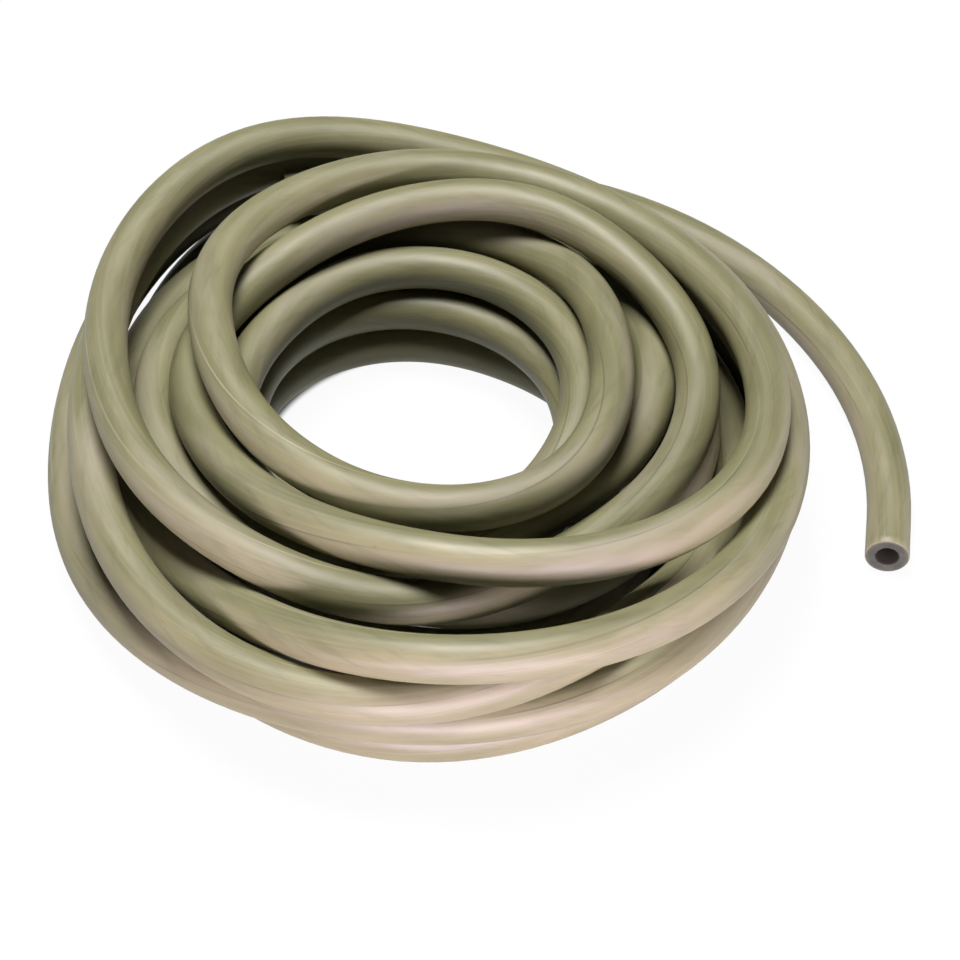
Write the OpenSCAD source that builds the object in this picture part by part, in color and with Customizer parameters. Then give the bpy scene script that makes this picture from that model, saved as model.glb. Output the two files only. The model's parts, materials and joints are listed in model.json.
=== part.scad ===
// Coil of rubber tubing: one length of thick-walled tube, wound by hand and lying flat.
// The frame has +Z up and its origin at the middle of the underside.

/* [Tube] */
// Diameter of the bore
tube_bore = 6; // [4:0.5:10]
// Thickness of the wall
tube_wall = 3; // [2:0.25:4]

/* [Coil] */
// Radius of the open eye in the middle
eye_r = 34; // [28:1:60]
// Clear room that a turn leaves to the turn beside it or under it
turn_gap = 0.6; // [0.4:0.1:2]

/* [Cut ends] */
// Length of the straight stretch before each cut
cut_straight = 14; // [8:1:30]

/* [Hidden] */

// How far the wound stretch runs on straight before each round end
run_on = 1;
// How far the wound stretch reaches into each round end, and a cut past its face
overrun = 2;
// How far the wound stretch stays inside the skin of the round ends
skin_inset = 0.05;
// Fineness of the round ends
$fn = 64;

bore_r = tube_bore / 2;
tube_r = bore_r + tube_wall;
pitch = 2 * tube_r + turn_gap;
round_length = cut_straight - run_on;

// The turns were laid by hand, so each has its own way round. A row is one turn, told off
// every 30 degrees as [steps out from the eye, steps up from the floor], in tube pitches.
// The first pair leads in to the free tail, and the last row ends in the tucked-in cut.
turn_shares = [
    [[8.0, 0.5], [7.85, 0.5]],
    [[7.45, 0.5], [7.0, 0.5], [6.9, 0.5], [6.6, 0.5], [6.3, 0.5], [4.3, 0.5],
     [3.8, 0.5], [4.05, 0.5], [4.9, 0.5], [5.75, 0.5], [5.3, 0.5], [5.1, 0.5]],
    [[5.1, 0.5], [5.1, 0.5], [5.5, 0.7], [6.0, 1.35], [6.5, 1.65], [5.5, 1.0],
     [4.9, 0.6], [5.2, 0.75], [5.7, 1.4], [5.9, 1.5], [6.05, 1.45], [5.4, 1.5]],
    [[5.0, 1.5], [4.95, 1.5], [5.2, 1.75], [5.4, 2.2], [5.9, 2.6], [4.8, 2.4],
     [4.25, 2.4], [4.7, 2.3], [5.8, 2.25], [6.6, 2.55], [5.2, 2.45], [4.3, 1.2]],
    [[4.05, 0.85], [4.1, 0.6], [4.3, 0.5], [4.45, 0.6], [4.4, 1.45], [4.05, 1.55],
     [3.8, 1.5], [3.9, 1.55], [4.4, 2.25], [6.4, 3.9], [6.4, 3.4], [5.7, 2.6]],
    [[4.9, 2.5], [4.6, 2.45], [4.45, 2.5], [4.6, 3.05], [5.4, 3.85], [4.7, 3.45],
     [3.9, 3.4], [3.85, 3.35], [4.0, 3.4], [4.2, 2.8], [3.1, 2.5], [3.3, 2.65]],
    [[3.3, 2.95], [2.8, 3.25], [2.45, 3.85], [2.0, 3.65], [1.6, 3.5], [1.85, 3.0],
     [2.25, 3.0], [2.25, 3.1], [2.7, 3.45], [3.45, 3.85], [4.75, 3.85], [5.25, 3.55]],
    [[4.45, 3.45], [3.85, 3.25], [3.65, 3.3], [3.1, 3.8], [2.75, 3.9], [2.35, 4.05],
     [1.6, 4.05], [1.5, 3.95], [1.8, 3.9], [2.4, 3.85], [2.5, 3.7], [1.7, 3.6]],
    [[1.25, 3.45], [1.5, 3.2], [2.15, 2.65], [2.45, 2.5], [2.15, 2.4], [2.1, 1.95],
     [2.2, 1.5], [2.05, 1.0], [2.7, 0.7], [3.3, 0.5], [3.4, 0.5], [2.8, 0.5]],
    [[1.7, 0.5], [1.0, 0.5], [0.7, 0.5], [0.85, 0.5], [1.1, 0.5], [1.3, 0.5],
     [1.3, 0.5], [1.15, 0.5], [1.25, 0.5], [1.3, 0.5], [1.15, 0.8], [0.9, 1.2]],
    [[0.6, 1.5], [0.5, 1.5], [0.6, 1.5], [0.85, 1.5], [1.15, 1.5], [1.2, 1.5],
     [1.15, 1.5], [1.1, 1.5], [1.15, 1.5], [1.25, 1.5], [1.1, 1.9], [0.85, 2.3]],
    [[0.75, 2.5], [0.8, 2.45], [1.05, 2.45], [1.2, 2.5], [1.15, 2.5], [1.0, 2.45],
     [1.2, 2.5], [1.65, 2.45], [2.1, 1.9], [2.8, 1.4], [3.2, 1.5], [3.35, 1.6]],
    [[3.35, 1.65], [3.3, 1.25], [3.3, 0.7], [3.4, 0.5], [3.3, 1.2], [3.05, 2.3],
     [3.05, 2.35], [3.0, 2.3], [3.1, 2.4], [2.65, 2.75], [2.0, 2.65], [2.05, 2.5]],
    [[2.3, 2.25], [2.8, 2.2], [3.5, 2.0], [4.05, 2.1], [4.8, 2.5], [5.5, 2.7]],
];
stations = [for (turn = turn_shares, station = turn) station];

// Angles round the eye, in degrees: from station to station, from ring to ring, and where
// the winding stops on the first and on the last turn
station_step = 30;
ring_step = 12;
tail_angle = -12;
tucked_angle = 108;
// Half of the arc over which a direction along the tube is taken
tangent_arc = 0.5;
lead_angle = -station_step * len(turn_shares[0]);
last_angle = 360 * (len(turn_shares) - 2) + tucked_angle;

// Corners of the outer skin, and one bore corner for every second one of them
skin_sides = 10;
bore_sides = skin_sides / 2;
ring_size = skin_sides + bore_sides;

function unit(v) = v / norm(v);

// A smooth blend of four stations in a row, with u from 0 to 1 between the middle two
function blend(a, b, c, d, u) =
    (a * pow(1 - u, 3) + b * (3 * pow(u, 3) - 6 * pow(u, 2) + 4)
     + c * (-3 * pow(u, 3) + 3 * pow(u, 2) + 3 * u + 1) + d * pow(u, 3)) / 6;

function station(i) = stations[max(0, min(len(stations) - 1, i))];

// Steps out and up at an angle
function laid(angle) =
    let (t = (angle - lead_angle) / station_step, i = floor(t))
    blend(station(i - 1), station(i), station(i + 1), station(i + 2), t - i);

// Centre of the tube at an angle, with the coil's own axis at x = y = 0
function centre(angle) =
    let (s = laid(angle), r = eye_r + s[0] * pitch)
    [r * cos(angle), r * sin(angle), s[1] * pitch];

function along(angle) = unit(centre(angle + tangent_arc) - centre(angle - tangent_arc));

// Directions across the tube: level, and upright
function level(t) = unit(cross(t, [0, 0, 1]));
function upright(t) = cross(level(t), t);

// Corners of a round section with the given number of sides, the first one on top
function section(c, t, r, sides) =
    [for (k = [0:sides - 1])
        c + r * (upright(t) * cos(360 * k / sides) - level(t) * sin(360 * k / sides))];

// One ring of the sweep: the skin's corners and then the bore's
function ring(c, t) = concat(
    section(c, t, tube_r - skin_inset, skin_sides),
    section(c, t, (bore_r + skin_inset) / cos(180 / bore_sides), bore_sides));

// The rings: one inside each round end, and the wound stretch between them
first_c = centre(tail_angle);
first_t = along(tail_angle);
last_c = centre(last_angle);
last_t = along(last_angle);
rings = concat(
    [ring(first_c - (run_on + overrun) * first_t, first_t)],
    [for (angle = [tail_angle:ring_step:last_angle]) ring(centre(angle), along(angle))],
    [ring(last_c + (run_on + overrun) * last_t, last_t)]);
corners = [for (r = rings, p = r) p];

// Two triangles between a side of one ring and the same side of the next
function side_faces(from, to, next) =
    [[from, to, to + next], [from, to + next, from + next]];

// The skin between ring i and the next, seen from outside
function skin_faces(i) =
    [for (k = [0:skin_sides - 1])
        let (from = i * ring_size + k, to = i * ring_size + (k + 1) % skin_sides)
        each side_faces(from, to, ring_size)];

// The bore's wall between ring i and the next, seen from inside the bore
function bore_faces(i) =
    [for (k = [0:bore_sides - 1])
        let (base = i * ring_size + skin_sides, from = base + (k + 1) % bore_sides, to = base + k)
        each side_faces(from, to, ring_size)];

// The flat of the wall at ring i, in one piece for each side of the bore
function wall_faces(i) =
    [for (k = [0:bore_sides - 1])
        let (skin = i * ring_size, bore = skin + skin_sides)
        [bore + k, bore + (k + 1) % bore_sides, skin + (2 * k + 2) % skin_sides,
         skin + 2 * k + 1, skin + 2 * k]];

function turned(faces) = [for (f = faces) [for (k = [len(f) - 1:-1:0]) f[k]]];

sweep_faces = concat(
    [for (i = [0:len(rings) - 2]) each skin_faces(i)],
    [for (i = [0:len(rings) - 2]) each bore_faces(i)],
    turned(wall_faces(0)),
    wall_faces(len(rings) - 1));

// The origin goes to the middle of the underside
tail_tip = first_c - cut_straight * first_t;
tucked_tip = last_c + cut_straight * last_t;
outline = concat(corners, section(tail_tip, first_t, tube_r, skin_sides),
                 section(tucked_tip, last_t, tube_r, skin_sides));
low = [for (axis = [0:2]) min([for (p = outline) p[axis]])];
high = [for (axis = [0:2]) max([for (p = outline) p[axis]])];
to_origin = [-(low[0] + high[0]) / 2, -(low[1] + high[1]) / 2, -low[2]];

// A round end of the tube, in the given direction from where the winding stops
module round_end(from, t)
    translate(from + run_on * t)
        rotate([0, acos(t[2]), atan2(t[1], t[0])])
            difference() {
                cylinder(h = round_length, r = tube_r);
                translate([0, 0, -overrun])
                    cylinder(h = round_length + 2 * overrun, r = bore_r);
            }

// The whole length: the wound stretch and its two square-cut ends
module tubing()
    color("#b3ad8c")
        translate(to_origin) {
            polyhedron(points = corners, faces = sweep_faces, convexity = 20);
            round_end(first_c, -first_t);
            round_end(last_c, last_t);
        }

tubing();
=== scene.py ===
import json
import math

import bpy
import numpy as np
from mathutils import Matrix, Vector


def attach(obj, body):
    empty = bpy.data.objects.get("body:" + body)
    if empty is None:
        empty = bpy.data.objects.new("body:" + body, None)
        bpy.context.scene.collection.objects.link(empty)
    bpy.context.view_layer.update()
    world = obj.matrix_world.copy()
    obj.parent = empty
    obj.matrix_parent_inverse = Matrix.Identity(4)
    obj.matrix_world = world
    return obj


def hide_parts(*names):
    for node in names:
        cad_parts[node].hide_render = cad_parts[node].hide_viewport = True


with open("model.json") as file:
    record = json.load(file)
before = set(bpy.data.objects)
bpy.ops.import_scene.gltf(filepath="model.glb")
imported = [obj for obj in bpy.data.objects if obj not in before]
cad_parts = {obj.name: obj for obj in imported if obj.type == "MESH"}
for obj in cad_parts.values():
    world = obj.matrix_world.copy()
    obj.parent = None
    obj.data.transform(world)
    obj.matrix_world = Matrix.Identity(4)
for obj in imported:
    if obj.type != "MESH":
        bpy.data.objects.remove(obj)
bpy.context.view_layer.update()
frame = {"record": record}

# The tube's sizes, in metres, as in the part's own source
TUBE_BORE = 0.006
TUBE_WALL = 0.003
EYE_R = 0.034
TURN_GAP = 0.0006
CUT_STRAIGHT = 0.014
TUBE_OD = TUBE_BORE + 2 * TUBE_WALL
PITCH = TUBE_OD + TURN_GAP

# One row a turn, every 30 degrees: [steps out from the eye, steps up from the floor], in pitches
TURN_SHARES = [
    [[8.0, 0.5], [7.85, 0.5]],
    [[7.45, 0.5], [7.0, 0.5], [6.9, 0.5], [6.6, 0.5], [6.3, 0.5], [4.3, 0.5],
     [3.8, 0.5], [4.05, 0.5], [4.9, 0.5], [5.75, 0.5], [5.3, 0.5], [5.1, 0.5]],
    [[5.1, 0.5], [5.1, 0.5], [5.5, 0.7], [6.0, 1.35], [6.5, 1.65], [5.5, 1.0],
     [4.9, 0.6], [5.2, 0.75], [5.7, 1.4], [5.9, 1.5], [6.05, 1.45], [5.4, 1.5]],
    [[5.0, 1.5], [4.95, 1.5], [5.2, 1.75], [5.4, 2.2], [5.9, 2.6], [4.8, 2.4],
     [4.25, 2.4], [4.7, 2.3], [5.8, 2.25], [6.6, 2.55], [5.2, 2.45], [4.3, 1.2]],
    [[4.05, 0.85], [4.1, 0.6], [4.3, 0.5], [4.45, 0.6], [4.4, 1.45], [4.05, 1.55],
     [3.8, 1.5], [3.9, 1.55], [4.4, 2.25], [6.4, 3.9], [6.4, 3.4], [5.7, 2.6]],
    [[4.9, 2.5], [4.6, 2.45], [4.45, 2.5], [4.6, 3.05], [5.4, 3.85], [4.7, 3.45],
     [3.9, 3.4], [3.85, 3.35], [4.0, 3.4], [4.2, 2.8], [3.1, 2.5], [3.3, 2.65]],
    [[3.3, 2.95], [2.8, 3.25], [2.45, 3.85], [2.0, 3.65], [1.6, 3.5], [1.85, 3.0],
     [2.25, 3.0], [2.25, 3.1], [2.7, 3.45], [3.45, 3.85], [4.75, 3.85], [5.25, 3.55]],
    [[4.45, 3.45], [3.85, 3.25], [3.65, 3.3], [3.1, 3.8], [2.75, 3.9], [2.35, 4.05],
     [1.6, 4.05], [1.5, 3.95], [1.8, 3.9], [2.4, 3.85], [2.5, 3.7], [1.7, 3.6]],
    [[1.25, 3.45], [1.5, 3.2], [2.15, 2.65], [2.45, 2.5], [2.15, 2.4], [2.1, 1.95],
     [2.2, 1.5], [2.05, 1.0], [2.7, 0.7], [3.3, 0.5], [3.4, 0.5], [2.8, 0.5]],
    [[1.7, 0.5], [1.0, 0.5], [0.7, 0.5], [0.85, 0.5], [1.1, 0.5], [1.3, 0.5],
     [1.3, 0.5], [1.15, 0.5], [1.25, 0.5], [1.3, 0.5], [1.15, 0.8], [0.9, 1.2]],
    [[0.6, 1.5], [0.5, 1.5], [0.6, 1.5], [0.85, 1.5], [1.15, 1.5], [1.2, 1.5],
     [1.15, 1.5], [1.1, 1.5], [1.15, 1.5], [1.25, 1.5], [1.1, 1.9], [0.85, 2.3]],
    [[0.75, 2.5], [0.8, 2.45], [1.05, 2.45], [1.2, 2.5], [1.15, 2.5], [1.0, 2.45],
     [1.2, 2.5], [1.65, 2.45], [2.1, 1.9], [2.8, 1.4], [3.2, 1.5], [3.35, 1.6]],
    [[3.35, 1.65], [3.3, 1.25], [3.3, 0.7], [3.4, 0.5], [3.3, 1.2], [3.05, 2.3],
     [3.05, 2.35], [3.0, 2.3], [3.1, 2.4], [2.65, 2.75], [2.0, 2.65], [2.05, 2.5]],
    [[2.3, 2.25], [2.8, 2.2], [3.5, 2.0], [4.05, 2.1], [4.8, 2.5], [5.5, 2.7]],
]
STATIONS = np.array([station for turn in TURN_SHARES for station in turn])
# Angles round the eye, in degrees: from station to station, where the winding stops on the first
# and on the last turn, and half of the arc over which a direction along the tube is taken
STATION_STEP = 30.0
TAIL_ANGLE = -12.0
TUCKED_ANGLE = 108.0
TANGENT_ARC = 0.5
LEAD_ANGLE = -STATION_STEP * len(TURN_SHARES[0])
LAST_ANGLE = 360.0 * (len(TURN_SHARES) - 2) + TUCKED_ANGLE

# Fineness of the shown tube: degrees from ring to ring, rings on each straight end, corners round
# it, and how many rings of the skin go to one of the bore
RING_STEP = 2.5
STRAIGHT_RINGS = 6
SIDES = 32
BORE_RING_SKIP = 4
# The cut: a slightly rolled rim, and rings across the flat of the wall
RIM = 0.0003
CUT_RINGS = 4
# Material slots of the tube
SKIN_SLOT, CUT_SLOT, BORE_SLOT = 0, 1, 2


def laid(angle):
    """Steps out and up at an angle: a smooth blend of the four stations around it."""
    t = (angle - LEAD_ANGLE) / STATION_STEP
    i = math.floor(t)
    u = t - i
    a, b, c, d = (STATIONS[min(max(i + k, 0), len(STATIONS) - 1)] for k in (-1, 0, 1, 2))
    return (a * (1 - u) ** 3 + b * (3 * u**3 - 6 * u**2 + 4)
            + c * (-3 * u**3 + 3 * u**2 + 3 * u + 1) + d * u**3) / 6


def centre(angle):
    """Centre of the tube at an angle, with the coil's own axis at x = y = 0."""
    out, up = laid(angle) * PITCH
    turn = math.radians(angle)
    return np.array([(EYE_R + out) * math.cos(turn), (EYE_R + out) * math.sin(turn), up])


def along(angle):
    step = centre(angle + TANGENT_ARC) - centre(angle - TANGENT_ARC)
    return step / np.linalg.norm(step)


def route():
    """The whole centreline from the tail's cut to the tucked-in cut, and its directions."""
    angles = np.arange(TAIL_ANGLE, LAST_ANGLE + RING_STEP / 2, RING_STEP)
    wound = [centre(a) for a in angles]
    ways = [along(a) for a in angles]
    back = np.linspace(CUT_STRAIGHT, 0, STRAIGHT_RINGS, endpoint=False)
    tail = [wound[0] - ways[0] * s for s in back]
    tucked = [wound[-1] + ways[-1] * s for s in back[::-1]]
    points = np.array(tail + wound + tucked)
    ways = np.array([ways[0]] * STRAIGHT_RINGS + ways + [ways[-1]] * STRAIGHT_RINGS)
    return points, ways


# The tail's mouth is a mount of the frame, and fixes where the coil lies
points, ways = route()
mouth = next(m for m in frame["record"]["mounts"] if m["name"] == "tail_bore")
axis = np.array(mouth["pos_m"]) - points[0]
points += axis
run = np.concatenate([[0.0], np.cumsum(np.linalg.norm(np.diff(points, axis=0), axis=1))])


def tube_loops():
    """Every loop of corners, each as a point of the route, a radius, a push along the route, and
    the slot of the faces from it to the next loop. They go along the outside, over the tucked cut,
    back through the bore, and over the tail's cut to the first loop again."""
    outer, inner = TUBE_OD / 2, TUBE_BORE / 2
    last = len(points) - 1
    flat = [outer - RIM + (inner + 2 * RIM - outer) * k / CUT_RINGS for k in range(1, CUT_RINGS)]
    loops = [(0, outer - RIM, 0.0, SKIN_SLOT), (0, outer, RIM, SKIN_SLOT)]
    loops += [(i, outer, 0.0, SKIN_SLOT) for i in range(1, last)]
    loops += [(last, outer, -RIM, SKIN_SLOT), (last, outer - RIM, 0.0, CUT_SLOT)]
    loops += [(last, r, 0.0, CUT_SLOT) for r in flat]
    loops += [(last, inner + RIM, 0.0, BORE_SLOT), (last, inner, -RIM, BORE_SLOT)]
    loops += [(i, inner, 0.0, BORE_SLOT) for i in range(last - 1, 0, -BORE_RING_SKIP)]
    loops += [(0, inner, RIM, BORE_SLOT), (0, inner + RIM, 0.0, CUT_SLOT)]
    loops += [(0, r, 0.0, CUT_SLOT) for r in reversed(flat)]
    return loops


def tube_mesh():
    """The tube as one closed skin. Each corner also keeps its place on the straightened tube, for
    the material."""
    level = np.cross(ways, [0.0, 0.0, 1.0])
    level /= np.linalg.norm(level, axis=1)[:, None]
    upright = np.cross(level, ways)
    spin = np.arange(SIDES) * 2 * math.pi / SIDES
    # Laid without being rolled, so the skin goes once round the tube in each turn of the coil
    roll = np.arctan2(points[:, 1] - axis[1], points[:, 0] - axis[0])
    loops = tube_loops()
    corners, straight, faces, slots = [], [], [], []
    for k, (i, r, push, slot) in enumerate(loops):
        middle = points[i] + ways[i] * push
        across = np.outer(np.sin(spin), upright[i]) + np.outer(np.cos(spin), level[i])
        corners.append(middle + r * across)
        own = spin - roll[i]
        length = np.full(SIDES, run[i] + push)
        straight.append(np.column_stack([length, r * np.cos(own), r * np.sin(own)]))
        this, following = k * SIDES, (k + 1) % len(loops) * SIDES
        for side in range(SIDES):
            beside = (side + 1) % SIDES
            faces.append((this + side, this + beside, following + beside, following + side))
            slots.append(slot)
    mesh = bpy.data.meshes.new("tubing")
    mesh.from_pydata([tuple(p) for p in np.concatenate(corners)], [], faces)
    mesh.polygons.foreach_set("material_index", slots)
    mesh.shade_smooth()
    rest = mesh.attributes.new("straightened", "FLOAT_VECTOR", "POINT")
    rest.data.foreach_set("vector", np.concatenate(straight).astype(np.float32).ravel())
    mesh.validate()
    return mesh


def srgb(r, g, b):
    """A colour as read from a screen, 0 to 255, as linear light."""
    def linear(v):
        v /= 255
        return v / 12.92 if v <= 0.04045 else ((v + 0.055) / 1.055) ** 2.4
    return (linear(r), linear(g), linear(b), 1.0)


class Nodes:
    """A material's node tree, with short calls for the few kinds of node used here."""

    def __init__(self, name):
        self.material = bpy.data.materials.new(name)
        self.material.use_nodes = True
        self.tree = self.material.node_tree
        self.shader = self.tree.nodes["Principled BSDF"]

    def feed(self, socket, value):
        """Links a socket to another one, or sets its constant value."""
        if isinstance(value, bpy.types.NodeSocket):
            self.tree.links.new(value, socket)
        else:
            socket.default_value = value

    def math(self, operation, *values):
        made = self.tree.nodes.new("ShaderNodeMath")
        made.operation = operation
        for socket, value in zip(made.inputs, values):
            self.feed(socket, value)
        return made.outputs[0]

    def line(self, round_angle, at, width):
        """1 on a line along the tube at an angle round it, fading to 0 at width to each side."""
        off = self.math("WRAP", self.math("SUBTRACT", round_angle, at), math.pi, -math.pi)
        return self.ramp(self.math("ABSOLUTE", off), 0.0, width, 1.0, 0.0)

    def place(self):
        """A point's place on the straightened tube: along it, and across it twice."""
        made = self.tree.nodes.new("ShaderNodeAttribute")
        made.attribute_name = "straightened"
        return made.outputs["Vector"]

    def twisted(self, length, level, upright):
        """The place on a tube whose skin is wound on by TWIST along its length."""
        turn = self.math("MULTIPLY", length, TWIST)
        cos, sin = self.math("COSINE", turn), self.math("SINE", turn)
        made = self.tree.nodes.new("ShaderNodeCombineXYZ")
        self.feed(made.inputs[0], length)
        self.feed(made.inputs[1], self.math("SUBTRACT", self.math("MULTIPLY", level, cos),
                                            self.math("MULTIPLY", upright, sin)))
        self.feed(made.inputs[2], self.math("ADD", self.math("MULTIPLY", level, sin),
                                            self.math("MULTIPLY", upright, cos)))
        return made.outputs[0]

    def distance(self, a, b):
        """How far a point with these two coordinates is from zero."""
        return self.math("SQRT", self.math("ADD", self.math("MULTIPLY", a, a),
                                           self.math("MULTIPLY", b, b)))

    def split(self, vector):
        made = self.tree.nodes.new("ShaderNodeSeparateXYZ")
        self.feed(made.inputs[0], vector)
        return made.outputs

    def noise(self, vector, pattern):
        """Noise with so many features a metre along the tube and across it, and so much detail."""
        along_tube, across_tube, detail, rough = pattern
        scaled = self.tree.nodes.new("ShaderNodeVectorMath")
        scaled.operation = "MULTIPLY"
        self.feed(scaled.inputs[0], vector)
        scaled.inputs[1].default_value = (along_tube, across_tube, across_tube)
        made = self.tree.nodes.new("ShaderNodeTexNoise")
        self.feed(made.inputs["Vector"], scaled.outputs[0])
        made.inputs["Scale"].default_value = 1.0
        made.inputs["Detail"].default_value = detail
        made.inputs["Roughness"].default_value = rough
        return made.outputs["Fac"]

    def ramp(self, value, low, high, start=0.0, end=1.0):
        """value from low to high, smoothly as start to end."""
        made = self.tree.nodes.new("ShaderNodeMapRange")
        made.interpolation_type = "SMOOTHSTEP"
        self.feed(made.inputs["Value"], value)
        made.inputs["From Min"].default_value = low
        made.inputs["From Max"].default_value = high
        made.inputs["To Min"].default_value = start
        made.inputs["To Max"].default_value = end
        return made.outputs["Result"]

    def fade(self, value, limits):
        """How much of a mark shows: nothing at the low limit, and its whole share at the high one."""
        low, high, share = limits
        return self.ramp(value, low, high, 0.0, share)

    def mix(self, share, a, b):
        """A share of the way from colour a to colour b, by the node's sockets for colours."""
        made = self.tree.nodes.new("ShaderNodeMix")
        made.data_type = "RGBA"
        self.feed(made.inputs[0], share)
        self.feed(made.inputs[6], a)
        self.feed(made.inputs[7], b)
        return made.outputs[2]

    def bump(self, height, relief, under=None):
        """Normals of a relief, laid over those of the one under it."""
        made = self.tree.nodes.new("ShaderNodeBump")
        made.inputs["Distance"].default_value, made.inputs["Strength"].default_value = relief
        self.feed(made.inputs["Height"], height)
        if under is not None:
            self.feed(made.inputs["Normal"], under)
        return made.outputs["Normal"]


# Most of a noise lies between these two values
MIDDLE = (0.3, 0.7)

# Colours of the skin, and of the marks on it
KHAKI = srgb(131, 128, 95)
KHAKI_DARK = srgb(114, 113, 81)
KHAKI_PALE = srgb(145, 141, 110)
KHAKI_DEEP = srgb(103, 102, 75)
BLOOM = srgb(152, 144, 129)
SPECK = srgb(98, 93, 70)
SEAM = srgb(70, 66, 53)
SCUFF = srgb(190, 184, 152)
# Patterns: features a metre along the tube and across it, detail, and the detail's roughness
MOTTLE_PATTERN = (32.0, 150.0, 3.0, 0.5)
DRAWN_PATTERN = (9.0, 1300.0, 2.0, 0.5)
SLANT_PATTERN = (60.0, 420.0, 3.0, 0.6)
PATCH_PATTERN = (14.0, 90.0, 4.0, 0.6)
SPECK_PATTERN = (420.0, 620.0, 1.0, 0.5)
RIPPLE_PATTERN = (85.0, 130.0, 1.0, 0.5)
GRAIN_PATTERN = (2600.0, 2600.0, 2.0, 0.5)
WANDER_PATTERN = (5.0, 0.0, 2.0, 0.5)
SEAM_BREAKS_PATTERN = (14.0, 0.0, 2.0, 0.5)
SCUFF_BREAKS_PATTERN = (11.0, 40.0, 2.0, 0.5)
# Where a mark fades in, as two values of its noise, and how much of its colour then shows
DRAWN_FADE = (0.45, 0.75, 0.4)
SLANT_FADE = (0.5, 0.7, 0.4)
BLOOM_FADE = (0.5, 0.72, 0.5)
SPECK_FADE = (0.77, 0.83, 0.35)
SEAM_FADE = (0.42, 0.58, 1.0)
SCUFF_FADE = (0.45, 0.6, 1.0)
LINE_SHARE = 0.5
# The dark moulding seam and the pale scuffed line, in radians: where they lie round the tube,
# how far they wander, and their widths
SEAM_AT = 1.85
SCUFF_AT = 3.3
LINE_WANDER = 0.9
SEAM_WIDTH = 0.07
SCUFF_WIDTH = 0.06
# How fast the slanting marks wind round the tube, in radians a metre
TWIST = 55.0
# Roughness from patch to patch, and what the drawn lines add to it
PATCH_ROUGH = (0.48, 0.6)
DRAWN_ROUGH = (-0.03, 0.03)
SPECULAR = 0.7
# Relief: a height in metres, and how strongly it shows
RIPPLE_RELIEF = (0.00025, 0.8)
GRAIN_RELIEF = (0.00002, 0.35)
SEAM_RELIEF = (0.00008, 0.6)


def rubber():
    """Satin khaki rubber: mottled, drawn along its length, with slanting marks, a dusty bloom,
    specks, a thin dark seam and a pale scuffed line."""
    n = Nodes("khaki_rubber")
    place = n.place()
    length, level, upright = n.split(place)
    mottle = n.noise(place, MOTTLE_PATTERN)
    drawn = n.noise(place, DRAWN_PATTERN)
    slant = n.noise(n.twisted(length, level, upright), SLANT_PATTERN)
    patch = n.noise(place, PATCH_PATTERN)
    speck = n.noise(place, SPECK_PATTERN)
    colour = n.mix(n.ramp(mottle, *MIDDLE), KHAKI_DARK, KHAKI)
    colour = n.mix(n.fade(drawn, DRAWN_FADE), colour, KHAKI_PALE)
    colour = n.mix(n.fade(slant, SLANT_FADE), colour, KHAKI_DEEP)
    colour = n.mix(n.fade(patch, BLOOM_FADE), colour, BLOOM)
    colour = n.mix(n.fade(speck, SPECK_FADE), colour, SPECK)

    wander = n.math("MULTIPLY", n.noise(place, WANDER_PATTERN), LINE_WANDER)
    round_angle = n.math("SUBTRACT", n.math("ARCTAN2", upright, level), wander)
    seam = n.math("MULTIPLY", n.line(round_angle, SEAM_AT, SEAM_WIDTH),
                  n.fade(n.noise(place, SEAM_BREAKS_PATTERN), SEAM_FADE))
    scuff = n.math("MULTIPLY", n.line(round_angle, SCUFF_AT, SCUFF_WIDTH),
                   n.fade(n.noise(place, SCUFF_BREAKS_PATTERN), SCUFF_FADE))
    colour = n.mix(n.math("MULTIPLY", seam, LINE_SHARE), colour, SEAM)
    colour = n.mix(n.math("MULTIPLY", scuff, LINE_SHARE), colour, SCUFF)
    n.feed(n.shader.inputs["Base Color"], colour)

    rough = n.math("ADD", n.ramp(patch, *MIDDLE, *PATCH_ROUGH), n.ramp(drawn, *MIDDLE, *DRAWN_ROUGH))
    n.feed(n.shader.inputs["Roughness"], rough)
    n.shader.inputs["Specular IOR Level"].default_value = SPECULAR
    waves = n.bump(n.noise(place, RIPPLE_PATTERN), RIPPLE_RELIEF)
    skin = n.bump(n.noise(place, GRAIN_PATTERN), GRAIN_RELIEF, waves)
    groove = n.bump(n.math("MULTIPLY", seam, -1.0), SEAM_RELIEF, skin)
    n.feed(n.shader.inputs["Normal"], groove)
    return n.material


# The cut wall: its colours, patterns and roughness, where it pales towards its rim, and its relief
CUT = srgb(72, 75, 62)
CUT_DARK = srgb(58, 61, 50)
CUT_EDGE = srgb(92, 94, 78)
CLOUD_PATTERN = (300.0, 300.0, 3.0, 0.5)
BLADE_PATTERN = (900.0, 900.0, 2.0, 0.5)
CUT_ROUGH = (0.6, 0.75)
EDGE_FADE = (0.4 * TUBE_OD, 0.48 * TUBE_OD, 0.8)
BLADE_RELIEF = (0.0001, 0.4)


def cut_face():
    """The cut wall: greyer than the skin, dull, paler at its rim, with faint marks of the blade."""
    n = Nodes("cut_rubber")
    place = n.place()
    cloud = n.noise(place, CLOUD_PATTERN)
    blade = n.noise(place, BLADE_PATTERN)
    _, level, upright = n.split(place)
    colour = n.mix(n.ramp(cloud, *MIDDLE), CUT_DARK, CUT)
    colour = n.mix(n.fade(n.distance(level, upright), EDGE_FADE), colour, CUT_EDGE)
    n.feed(n.shader.inputs["Base Color"], colour)
    n.feed(n.shader.inputs["Roughness"], n.ramp(blade, *MIDDLE, *CUT_ROUGH))
    n.feed(n.shader.inputs["Normal"], n.bump(blade, BLADE_RELIEF))
    return n.material


# The bore's dark brown is painted shade: colour standing in for the shade inside the tube.
PAINTED_BORE_SHADE = srgb(44, 42, 31)
BORE_ROUGH = 0.8


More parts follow.
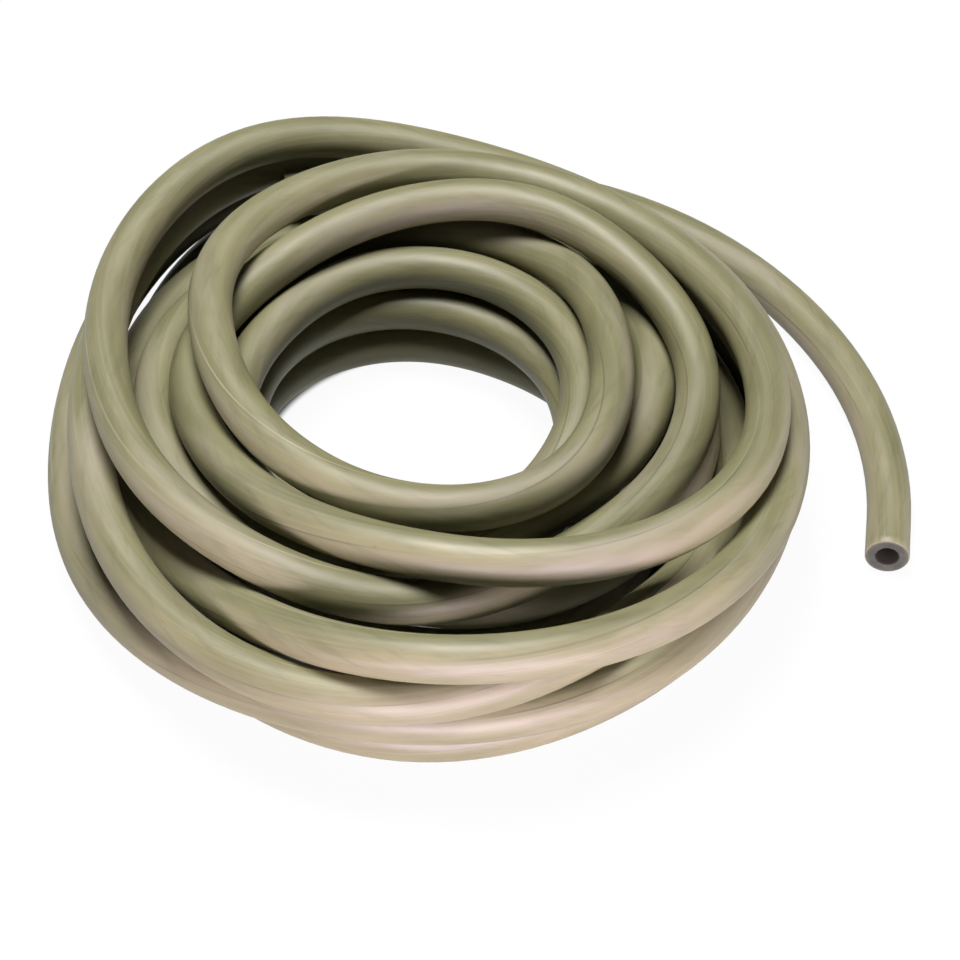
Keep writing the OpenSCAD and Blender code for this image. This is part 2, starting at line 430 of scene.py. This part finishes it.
def bore_wall():
    """The bore: a dark dull brown, painted shade for the shade that falls deep inside the tube."""
    n = Nodes("bore_painted_shade")
    n.shader.inputs["Base Color"].default_value = PAINTED_BORE_SHADE
    n.shader.inputs["Roughness"].default_value = BORE_ROUGH
    return n.material


# The camera: the point that it looks at, from the coil's axis, and how it stands to it
TARGET = Vector((0.016, -0.0055, 0.0))
DISTANCE = 0.756
ELEVATION = math.radians(45)
LENS = 101.7
SENSOR_WIDTH = 36.0
CLIP = (0.01, 20.0)


def camera():
    data = bpy.data.cameras.new("camera")
    data.lens = LENS
    data.sensor_width = SENSOR_WIDTH
    data.clip_start, data.clip_end = CLIP
    made = bpy.data.objects.new("camera", data)
    back = Vector((0, -math.cos(ELEVATION), math.sin(ELEVATION)))
    made.location = TARGET + Vector(axis) + back * DISTANCE
    made.rotation_euler = (-back).to_track_quat("-Z", "Y").to_euler()
    bpy.context.scene.collection.objects.link(made)
    bpy.context.scene.camera = made


camera()
tubing = bpy.data.objects.new("rubber_tubing", tube_mesh())
bpy.context.scene.collection.objects.link(tubing)
tubing.data.materials.append(rubber())
tubing.data.materials.append(cut_face())
tubing.data.materials.append(bore_wall())
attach(tubing, "root")
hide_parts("tubing")


FLOOR_HALF = 3.0
FLOOR_GREY = (0.18, 0.18, 0.18, 1)
# The floor's own white, and how much of it shows
GLOW_STRENGTH = 1.19
GLOW_SHARE = 0.8
# Where the floor's white is left off under the turns, as painted shade, as distances from the coil's
# axis
UNDER_FROM, UNDER_TO = 0.044, 0.097
UNDER_FADE = 0.003


def floor():
    """A pale floor, white where it is open, which keeps the coil's shadow; under the turns its white
    is left off, so the floor there shows dark grey as painted shade.
    """
    mesh = bpy.data.meshes.new("floor")
    corners = [(-1, -1, 0), (1, -1, 0), (1, 1, 0), (-1, 1, 0)]
    mesh.from_pydata([Vector(c) * FLOOR_HALF for c in corners], [], [(0, 1, 2, 3)])
    made = bpy.data.objects.new("floor", mesh)
    bpy.context.scene.collection.objects.link(made)
    n = Nodes("floor")
    tree = n.tree
    path = tree.nodes.new("ShaderNodeLightPath")
    seen = n.math("MAXIMUM", path.outputs["Is Camera Ray"], path.outputs["Is Transmission Ray"])
    seen = n.math("MAXIMUM", seen, path.outputs["Is Glossy Ray"])
    x, y, _ = n.split(tree.nodes.new("ShaderNodeNewGeometry").outputs["Position"])
    x = n.math("SUBTRACT", x, float(axis[0]))
    y = n.math("SUBTRACT", y, float(axis[1]))
    out = n.distance(x, y)
    # Under the turns the glow is left off, so the grey floor there is painted shade.
    inside = n.ramp(out, UNDER_FROM, UNDER_FROM + UNDER_FADE, 1.0, 0.0)
    outside = n.ramp(out, UNDER_TO - UNDER_FADE, UNDER_TO)
    open_floor = n.math("MAXIMUM", inside, outside)
    share = n.math("MULTIPLY", n.math("MULTIPLY", seen, open_floor), GLOW_SHARE)
    diffuse = tree.nodes.new("ShaderNodeBsdfDiffuse")
    diffuse.inputs["Color"].default_value = FLOOR_GREY
    glow = tree.nodes.new("ShaderNodeEmission")
    glow.inputs["Strength"].default_value = GLOW_STRENGTH
    mix = tree.nodes.new("ShaderNodeMixShader")
    n.feed(mix.inputs[0], share)
    n.feed(mix.inputs[1], diffuse.outputs[0])
    n.feed(mix.inputs[2], glow.outputs[0])
    n.feed(tree.nodes["Material Output"].inputs["Surface"], mix.outputs[0])
    tree.nodes.remove(n.shader)
    mesh.materials.append(n.material)


# Lamps: name, place, where it aims, size in metres, power in watts, colour
LAMPS = [
    ("top", (-0.1, 0.16, 1.2), (0, 0, 0.02), (0.5, 0.5), 21.5, (1.0, 0.98, 0.95)),
    ("front", (0.05, -0.45, 0.065), (0, 0, 0.03), (0.45, 0.08), 3.8, (0.97, 0.80, 1.0)),
    ("left", (-0.6, 0.0, 0.06), (0, 0, 0.04), (0.5, 0.06), 0.4, (1.0, 0.97, 0.93)),
    ("right", (0.6, 0.0, 0.06), (0, 0, 0.04), (0.5, 0.06), 0.9, (1.0, 0.97, 0.93)),
]
WORLD_STRENGTH = 0.005


def area_light(name, place, aim, size, power, colour):
    data = bpy.data.lights.new(name, "AREA")
    data.shape = "RECTANGLE"
    data.size, data.size_y = size
    data.energy = power
    data.color = colour
    made = bpy.data.objects.new(name, data)
    made.location = place
    made.rotation_euler = (Vector(aim) - Vector(place)).to_track_quat("-Z", "Y").to_euler()
    bpy.context.scene.collection.objects.link(made)


def studio_world():
    world = bpy.data.worlds.new("studio")
    world.use_nodes = True
    background = world.node_tree.nodes["Background"]
    background.inputs["Color"].default_value = (1, 1, 1, 1)
    background.inputs["Strength"].default_value = WORLD_STRENGTH
    bpy.context.scene.world = world


floor()
for lamp in LAMPS:
    area_light(*lamp)
studio_world()
bpy.context.scene.view_settings.view_transform = "Standard"
